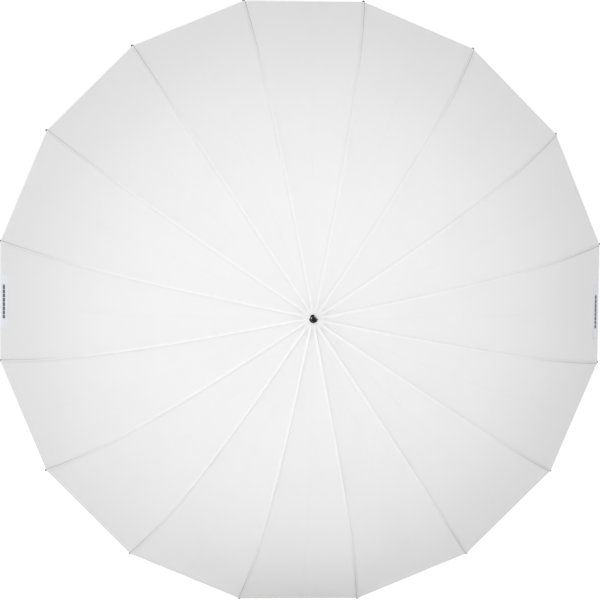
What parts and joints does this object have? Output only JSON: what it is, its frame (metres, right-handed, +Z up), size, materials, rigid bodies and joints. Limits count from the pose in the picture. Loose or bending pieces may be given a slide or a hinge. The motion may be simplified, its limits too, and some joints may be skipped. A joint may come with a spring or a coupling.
{
  "type": "umbrella reflector",
  "caption": "Deep parabolic studio umbrella: a white translucent canopy on bent ribs, hinged stretchers, a sliding runner and a thin steel shaft.",
  "frame": {"origin": "centre of the flat end of the shaft's tail plug", "axes": "+Y along the shaft, from the crown of the canopy towards the tail; +Z up; the open side of the canopy faces +Y and the outside of its crown faces -Y"},
  "size_m": [1.2798, 0.907, 1.2798],
  "materials": {
    "steel": "satin nickel plate",
    "chrome": "polished",
    "black_plastic": "moulded, low sheen",
    "fibreglass": "white drawn rod",
    "black_steel": "black lacquer",
    "white_fabric": "thin translucent woven nylon",
    "label_fabric": "pale satin ribbon"
  },
  "bodies": {
    "shaft": {"shaft_tube": "steel", "top_notch": "black_plastic", "notch_wire": "steel", "ferrule": "chrome", "top_cap": "black_plastic", "tail_plug": "black_plastic", "canopy": "white_fabric", "label_left": "label_fabric", "label_right": "label_fabric"},
    "rib_inner_01": {"rib_inner_01": "fibreglass"},
    "rib_outer_01": {"rib_outer_01": "fibreglass"},
    "stretcher_01": {"stretcher_01": "black_steel"},
    "rib_inner_02": {"rib_inner_02": "fibreglass"},
    "rib_outer_02": {"rib_outer_02": "fibreglass"},
    "stretcher_02": {"stretcher_02": "black_steel"},
    "rib_inner_03": {"rib_inner_03": "fibreglass"},
    "rib_outer_03": {"rib_outer_03": "fibreglass"},
    "stretcher_03": {"stretcher_03": "black_steel"},
    "rib_inner_04": {"rib_inner_04": "fibreglass"},
    "rib_outer_04": {"rib_outer_04": "fibreglass"},
    "stretcher_04": {"stretcher_04": "black_steel"},
    "rib_inner_05": {"rib_inner_05": "fibreglass"},
    "rib_outer_05": {"rib_outer_05": "fibreglass"},
    "stretcher_05": {"stretcher_05": "black_steel"},
    "rib_inner_06": {"rib_inner_06": "fibreglass"},
    "rib_outer_06": {"rib_outer_06": "fibreglass"},
    "stretcher_06": {"stretcher_06": "black_steel"},
    "rib_inner_07": {"rib_inner_07": "fibreglass"},
    "rib_outer_07": {"rib_outer_07": "fibreglass"},
    "stretcher_07": {"stretcher_07": "black_steel"},
    "rib_inner_08": {"rib_inner_08": "fibreglass"},
    "rib_outer_08": {"rib_outer_08": "fibreglass"},
    "stretcher_08": {"stretcher_08": "black_steel"},
    "rib_inner_09": {"rib_inner_09": "fibreglass"},
    "rib_outer_09": {"rib_outer_09": "fibreglass"},
    "stretcher_09": {"stretcher_09": "black_steel"},
    "rib_inner_10": {"rib_inner_10": "fibreglass"},
    "rib_outer_10": {"rib_outer_10": "fibreglass"},
    "stretcher_10": {"stretcher_10": "black_steel"},
    "rib_inner_11": {"rib_inner_11": "fibreglass"},
    "rib_outer_11": {"rib_outer_11": "fibreglass"},
    "stretcher_11": {"stretcher_11": "black_steel"},
    "rib_inner_12": {"rib_inner_12": "fibreglass"},
    "rib_outer_12": {"rib_outer_12": "fibreglass"},
    "stretcher_12": {"stretcher_12": "black_steel"},
    "rib_inner_13": {"rib_inner_13": "fibreglass"},
    "rib_outer_13": {"rib_outer_13": "fibreglass"},
    "stretcher_13": {"stretcher_13": "black_steel"},
    "rib_inner_14": {"rib_inner_14": "fibreglass"},
    "rib_outer_14": {"rib_outer_14": "fibreglass"},
    "stretcher_14": {"stretcher_14": "black_steel"},
    "rib_inner_15": {"rib_inner_15": "fibreglass"},
    "rib_outer_15": {"rib_outer_15": "fibreglass"},
    "stretcher_15": {"stretcher_15": "black_steel"},
    "rib_inner_16": {"rib_inner_16": "fibreglass"},
    "rib_outer_16": {"rib_outer_16": "fibreglass"},
    "stretcher_16": {"stretcher_16": "black_steel"},
    "runner": {"runner": "black_plastic", "runner_wire": "steel"},
    "catch": {"catch_spring": "steel"}
  },
  "joints": [
    {"name": "canopy_fold", "type": "hinge", "parent": "shaft", "child": "rib_inner_01", "pos_m": [0.01373, -0.88, 0.00273], "axis": [-0.1951, 0, 0.9808], "range_deg": [0, 75.55], "deforming": ["catch_spring"]},
    {"name": "rib_flex_01", "type": "hinge", "parent": "rib_inner_01", "child": "rib_outer_01", "pos_m": [0.36009, -0.80776, 0.07163], "axis": [-0.1951, 0, 0.9808], "range_deg": [-33.86, 0]},
    {"name": "stretcher_pin_01", "type": "hinge", "parent": "rib_inner_01", "child": "stretcher_01", "pos_m": [0.35199, -0.80699, 0.07001], "axis": [-0.1951, 0, 0.9808], "range_deg": [-151.1, 0]},
    {"name": "rib_fold_02", "type": "hinge", "parent": "shaft", "child": "rib_inner_02", "pos_m": [0.01164, -0.88, 0.00778], "axis": [-0.5556, 0, 0.8315], "range_deg": [0, 75.55]},
    {"name": "rib_flex_02", "type": "hinge", "parent": "rib_inner_02", "child": "rib_outer_02", "pos_m": [0.30527, -0.80776, 0.20397], "axis": [-0.5556, 0, 0.8315], "range_deg": [-33.86, 0]},
    {"name": "stretcher_pin_02", "type": "hinge", "parent": "rib_inner_02", "child": "stretcher_02", "pos_m": [0.2984, -0.80699, 0.19939], "axis": [-0.5556, 0, 0.8315], "range_deg": [-151.1, 0]},
    {"name": "rib_fold_03", "type": "hinge", "parent": "shaft", "child": "rib_inner_03", "pos_m": [0.00778, -0.88, 0.01164], "axis": [-0.8315, 0, 0.5556], "range_deg": [0, 75.55]},
    {"name": "rib_flex_03", "type": "hinge", "parent": "rib_inner_03", "child": "rib_outer_03", "pos_m": [0.20397, -0.80776, 0.30527], "axis": [-0.8315, 0, 0.5556], "range_deg": [-33.86, 0]},
    {"name": "stretcher_pin_03", "type": "hinge", "parent": "rib_inner_03", "child": "stretcher_03", "pos_m": [0.19939, -0.80699, 0.2984], "axis": [-0.8315, 0, 0.5556], "range_deg": [-151.1, 0]},
    {"name": "rib_fold_04", "type": "hinge", "parent": "shaft", "child": "rib_inner_04", "pos_m": [0.00273, -0.88, 0.01373], "axis": [-0.9808, 0, 0.1951], "range_deg": [0, 75.55]},
    {"name": "rib_flex_04", "type": "hinge", "parent": "rib_inner_04", "child": "rib_outer_04", "pos_m": [0.07163, -0.80776, 0.36009], "axis": [-0.9808, 0, 0.1951], "range_deg": [-33.86, 0]},
    {"name": "stretcher_pin_04", "type": "hinge", "parent": "rib_inner_04", "child": "stretcher_04", "pos_m": [0.07001, -0.80699, 0.35199], "axis": [-0.9808, 0, 0.1951], "range_deg": [-151.1, 0]},
    {"name": "rib_fold_05", "type": "hinge", "parent": "shaft", "child": "rib_inner_05", "pos_m": [-0.00273, -0.88, 0.01373], "axis": [-0.9808, 0, -0.1951], "range_deg": [0, 75.55]},
    {"name": "rib_flex_05", "type": "hinge", "parent": "rib_inner_05", "child": "rib_outer_05", "pos_m": [-0.07163, -0.80776, 0.36009], "axis": [-0.9808, 0, -0.1951], "range_deg": [-33.86, 0]},
    {"name": "stretcher_pin_05", "type": "hinge", "parent": "rib_inner_05", "child": "stretcher_05", "pos_m": [-0.07001, -0.80699, 0.35199], "axis": [-0.9808, 0, -0.1951], "range_deg": [-151.1, 0]},
    {"name": "rib_fold_06", "type": "hinge", "parent": "shaft", "child": "rib_inner_06", "pos_m": [-0.00778, -0.88, 0.01164], "axis": [-0.8315, 0, -0.5556], "range_deg": [0, 75.55]},
    {"name": "rib_flex_06", "type": "hinge", "parent": "rib_inner_06", "child": "rib_outer_06", "pos_m": [-0.20397, -0.80776, 0.30527], "axis": [-0.8315, 0, -0.5556], "range_deg": [-33.86, 0]},
    {"name": "stretcher_pin_06", "type": "hinge", "parent": "rib_inner_06", "child": "stretcher_06", "pos_m": [-0.19939, -0.80699, 0.2984], "axis": [-0.8315, 0, -0.5556], "range_deg": [-151.1, 0]},
    {"name": "rib_fold_07", "type": "hinge", "parent": "shaft", "child": "rib_inner_07", "pos_m": [-0.01164, -0.88, 0.00778], "axis": [-0.5556, 0, -0.8315], "range_deg": [0, 75.55]},
    {"name": "rib_flex_07", "type": "hinge", "parent": "rib_inner_07", "child": "rib_outer_07", "pos_m": [-0.30527, -0.80776, 0.20397], "axis": [-0.5556, 0, -0.8315], "range_deg": [-33.86, 0]},
    {"name": "stretcher_pin_07", "type": "hinge", "parent": "rib_inner_07", "child": "stretcher_07", "pos_m": [-0.2984, -0.80699, 0.19939], "axis": [-0.5556, 0, -0.8315], "range_deg": [-151.1, 0]},
    {"name": "rib_fold_08", "type": "hinge", "parent": "shaft", "child": "rib_inner_08", "pos_m": [-0.01373, -0.88, 0.00273], "axis": [-0.1951, 0, -0.9808], "range_deg": [0, 75.55]},
    {"name": "rib_flex_08", "type": "hinge", "parent": "rib_inner_08", "child": "rib_outer_08", "pos_m": [-0.36009, -0.80776, 0.07163], "axis": [-0.1951, 0, -0.9808], "range_deg": [-33.86, 0]},
    {"name": "stretcher_pin_08", "type": "hinge", "parent": "rib_inner_08", "child": "stretcher_08", "pos_m": [-0.35199, -0.80699, 0.07001], "axis": [-0.1951, 0, -0.9808], "range_deg": [-151.1, 0]},
    {"name": "rib_fold_09", "type": "hinge", "parent": "shaft", "child": "rib_inner_09", "pos_m": [-0.01373, -0.88, -0.00273], "axis": [0.1951, 0, -0.9808], "range_deg": [0, 75.55]},
    {"name": "rib_flex_09", "type": "hinge", "parent": "rib_inner_09", "child": "rib_outer_09", "pos_m": [-0.36009, -0.80776, -0.07163], "axis": [0.1951, 0, -0.9808], "range_deg": [-33.86, 0]},
    {"name": "stretcher_pin_09", "type": "hinge", "parent": "rib_inner_09", "child": "stretcher_09", "pos_m": [-0.35199, -0.80699, -0.07001], "axis": [0.1951, 0, -0.9808], "range_deg": [-151.1, 0]},
    {"name": "rib_fold_10", "type": "hinge", "parent": "shaft", "child": "rib_inner_10", "pos_m": [-0.01164, -0.88, -0.00778], "axis": [0.5556, 0, -0.8315], "range_deg": [0, 75.55]},
    {"name": "rib_flex_10", "type": "hinge", "parent": "rib_inner_10", "child": "rib_outer_10", "pos_m": [-0.30527, -0.80776, -0.20397], "axis": [0.5556, 0, -0.8315], "range_deg": [-33.86, 0]},
    {"name": "stretcher_pin_10", "type": "hinge", "parent": "rib_inner_10", "child": "stretcher_10", "pos_m": [-0.2984, -0.80699, -0.19939], "axis": [0.5556, 0, -0.8315], "range_deg": [-151.1, 0]},
    {"name": "rib_fold_11", "type": "hinge", "parent": "shaft", "child": "rib_inner_11", "pos_m": [-0.00778, -0.88, -0.01164], "axis": [0.8315, 0, -0.5556], "range_deg": [0, 75.55]},
    {"name": "rib_flex_11", "type": "hinge", "parent": "rib_inner_11", "child": "rib_outer_11", "pos_m": [-0.20397, -0.80776, -0.30527], "axis": [0.8315, 0, -0.5556], "range_deg": [-33.86, 0]},
    {"name": "stretcher_pin_11", "type": "hinge", "parent": "rib_inner_11", "child": "stretcher_11", "pos_m": [-0.19939, -0.80699, -0.2984], "axis": [0.8315, 0, -0.5556], "range_deg": [-151.1, 0]},
    {"name": "rib_fold_12", "type": "hinge", "parent": "shaft", "child": "rib_inner_12", "pos_m": [-0.00273, -0.88, -0.01373], "axis": [0.9808, 0, -0.1951], "range_deg": [0, 75.55]},
    {"name": "rib_flex_12", "type": "hinge", "parent": "rib_inner_12", "child": "rib_outer_12", "pos_m": [-0.07163, -0.80776, -0.36009], "axis": [0.9808, 0, -0.1951], "range_deg": [-33.86, 0]},
    {"name": "stretcher_pin_12", "type": "hinge", "parent": "rib_inner_12", "child": "stretcher_12", "pos_m": [-0.07001, -0.80699, -0.35199], "axis": [0.9808, 0, -0.1951], "range_deg": [-151.1, 0]},
    {"name": "rib_fold_13", "type": "hinge", "parent": "shaft", "child": "rib_inner_13", "pos_m": [0.00273, -0.88, -0.01373], "axis": [0.9808, 0, 0.1951], "range_deg": [0, 75.55]},
    {"name": "rib_flex_13", "type": "hinge", "parent": "rib_inner_13", "child": "rib_outer_13", "pos_m": [0.07163, -0.80776, -0.36009], "axis": [0.9808, 0, 0.1951], "range_deg": [-33.86, 0]},
    {"name": "stretcher_pin_13", "type": "hinge", "parent": "rib_inner_13", "child": "stretcher_13", "pos_m": [0.07001, -0.80699, -0.35199], "axis": [0.9808, 0, 0.1951], "range_deg": [-151.1, 0]},
    {"name": "rib_fold_14", "type": "hinge", "parent": "shaft", "child": "rib_inner_14", "pos_m": [0.00778, -0.88, -0.01164], "axis": [0.8315, 0, 0.5556], "range_deg": [0, 75.55]},
    {"name": "rib_flex_14", "type": "hinge", "parent": "rib_inner_14", "child": "rib_outer_14", "pos_m": [0.20397, -0.80776, -0.30527], "axis": [0.8315, 0, 0.5556], "range_deg": [-33.86, 0]},
    {"name": "stretcher_pin_14", "type": "hinge", "parent": "rib_inner_14", "child": "stretcher_14", "pos_m": [0.19939, -0.80699, -0.2984], "axis": [0.8315, 0, 0.5556], "range_deg": [-151.1, 0]},
    {"name": "rib_fold_15", "type": "hinge", "parent": "shaft", "child": "rib_inner_15", "pos_m": [0.01164, -0.88, -0.00778], "axis": [0.5556, 0, 0.8315], "range_deg": [0, 75.55]},
    {"name": "rib_flex_15", "type": "hinge", "parent": "rib_inner_15", "child": "rib_outer_15", "pos_m": [0.30527, -0.80776, -0.20397], "axis": [0.5556, 0, 0.8315], "range_deg": [-33.86, 0]},
    {"name": "stretcher_pin_15", "type": "hinge", "parent": "rib_inner_15", "child": "stretcher_15", "pos_m": [0.2984, -0.80699, -0.19939], "axis": [0.5556, 0, 0.8315], "range_deg": [-151.1, 0]},
    {"name": "rib_fold_16", "type": "hinge", "parent": "shaft", "child": "rib_inner_16", "pos_m": [0.01373, -0.88, -0.00273], "axis": [0.1951, 0, 0.9808], "range_deg": [0, 75.55]},
    {"name": "rib_flex_16", "type": "hinge", "parent": "rib_inner_16", "child": "rib_outer_16", "pos_m": [0.36009, -0.80776, -0.07163], "axis": [0.1951, 0, 0.9808], "range_deg": [-33.86, 0]},
    {"name": "stretcher_pin_16", "type": "hinge", "parent": "rib_inner_16", "child": "stretcher_16", "pos_m": [0.35199, -0.80699, -0.07001], "axis": [0.1951, 0, 0.9808], "range_deg": [-151.1, 0]},
    {"name": "runner_pin", "type": "hinge", "parent": "stretcher_01", "child": "runner", "pos_m": [0.01373, -0.73399, 0.00273], "axis": [-0.1951, 0, 0.9808], "range_deg": [0, 75.55]},
    {"name": "catch_press", "type": "hinge", "parent": "shaft", "child": "catch", "pos_m": [0, -0.64099, 0.0023], "axis": [1, 0, 0], "range_deg": [0, 4.5], "stiffness_Nm_per_rad": 0.05}
  ],
  "couplings": [
    {"joint": "rib_flex_01", "follows": "canopy_fold", "ratio": -0.448},
    {"joint": "stretcher_pin_01", "follows": "canopy_fold", "ratio": -2},
    {"joint": "rib_fold_02", "follows": "canopy_fold", "ratio": 1},
    {"joint": "rib_flex_02", "follows": "canopy_fold", "ratio": -0.448},
    {"joint": "stretcher_pin_02", "follows": "canopy_fold", "ratio": -2},
    {"joint": "rib_fold_03", "follows": "canopy_fold", "ratio": 1},
    {"joint": "rib_flex_03", "follows": "canopy_fold", "ratio": -0.448},
    {"joint": "stretcher_pin_03", "follows": "canopy_fold", "ratio": -2},
    {"joint": "rib_fold_04", "follows": "canopy_fold", "ratio": 1},
    {"joint": "rib_flex_04", "follows": "canopy_fold", "ratio": -0.448},
    {"joint": "stretcher_pin_04", "follows": "canopy_fold", "ratio": -2},
    {"joint": "rib_fold_05", "follows": "canopy_fold", "ratio": 1},
    {"joint": "rib_flex_05", "follows": "canopy_fold", "ratio": -0.448},
    {"joint": "stretcher_pin_05", "follows": "canopy_fold", "ratio": -2},
    {"joint": "rib_fold_06", "follows": "canopy_fold", "ratio": 1},
    {"joint": "rib_flex_06", "follows": "canopy_fold", "ratio": -0.448},
    {"joint": "stretcher_pin_06", "follows": "canopy_fold", "ratio": -2},
    {"joint": "rib_fold_07", "follows": "canopy_fold", "ratio": 1},
    {"joint": "rib_flex_07", "follows": "canopy_fold", "ratio": -0.448},
    {"joint": "stretcher_pin_07", "follows": "canopy_fold", "ratio": -2},
    {"joint": "rib_fold_08", "follows": "canopy_fold", "ratio": 1},
    {"joint": "rib_flex_08", "follows": "canopy_fold", "ratio": -0.448},
    {"joint": "stretcher_pin_08", "follows": "canopy_fold", "ratio": -2},
    {"joint": "rib_fold_09", "follows": "canopy_fold", "ratio": 1},
    {"joint": "rib_flex_09", "follows": "canopy_fold", "ratio": -0.448},
    {"joint": "stretcher_pin_09", "follows": "canopy_fold", "ratio": -2},
    {"joint": "rib_fold_10", "follows": "canopy_fold", "ratio": 1},
    {"joint": "rib_flex_10", "follows": "canopy_fold", "ratio": -0.448},
    {"joint": "stretcher_pin_10", "follows": "canopy_fold", "ratio": -2},
    {"joint": "rib_fold_11", "follows": "canopy_fold", "ratio": 1},
    {"joint": "rib_flex_11", "follows": "canopy_fold", "ratio": -0.448},
    {"joint": "stretcher_pin_11", "follows": "canopy_fold", "ratio": -2},
    {"joint": "rib_fold_12", "follows": "canopy_fold", "ratio": 1},
    {"joint": "rib_flex_12", "follows": "canopy_fold", "ratio": -0.448},
    {"joint": "stretcher_pin_12", "follows": "canopy_fold", "ratio": -2},
    {"joint": "rib_fold_13", "follows": "canopy_fold", "ratio": 1},
    {"joint": "rib_flex_13", "follows": "canopy_fold", "ratio": -0.448},
    {"joint": "stretcher_pin_13", "follows": "canopy_fold", "ratio": -2},
    {"joint": "rib_fold_14", "follows": "canopy_fold", "ratio": 1},
    {"joint": "rib_flex_14", "follows": "canopy_fold", "ratio": -0.448},
    {"joint": "stretcher_pin_14", "follows": "canopy_fold", "ratio": -2},
    {"joint": "rib_fold_15", "follows": "canopy_fold", "ratio": 1},
    {"joint": "rib_flex_15", "follows": "canopy_fold", "ratio": -0.448},
    {"joint": "stretcher_pin_15", "follows": "canopy_fold", "ratio": -2},
    {"joint": "rib_fold_16", "follows": "canopy_fold", "ratio": 1},
    {"joint": "rib_flex_16", "follows": "canopy_fold", "ratio": -0.448},
    {"joint": "stretcher_pin_16", "follows": "canopy_fold", "ratio": -2},
    {"joint": "runner_pin", "follows": "canopy_fold", "ratio": 1}
  ]
}
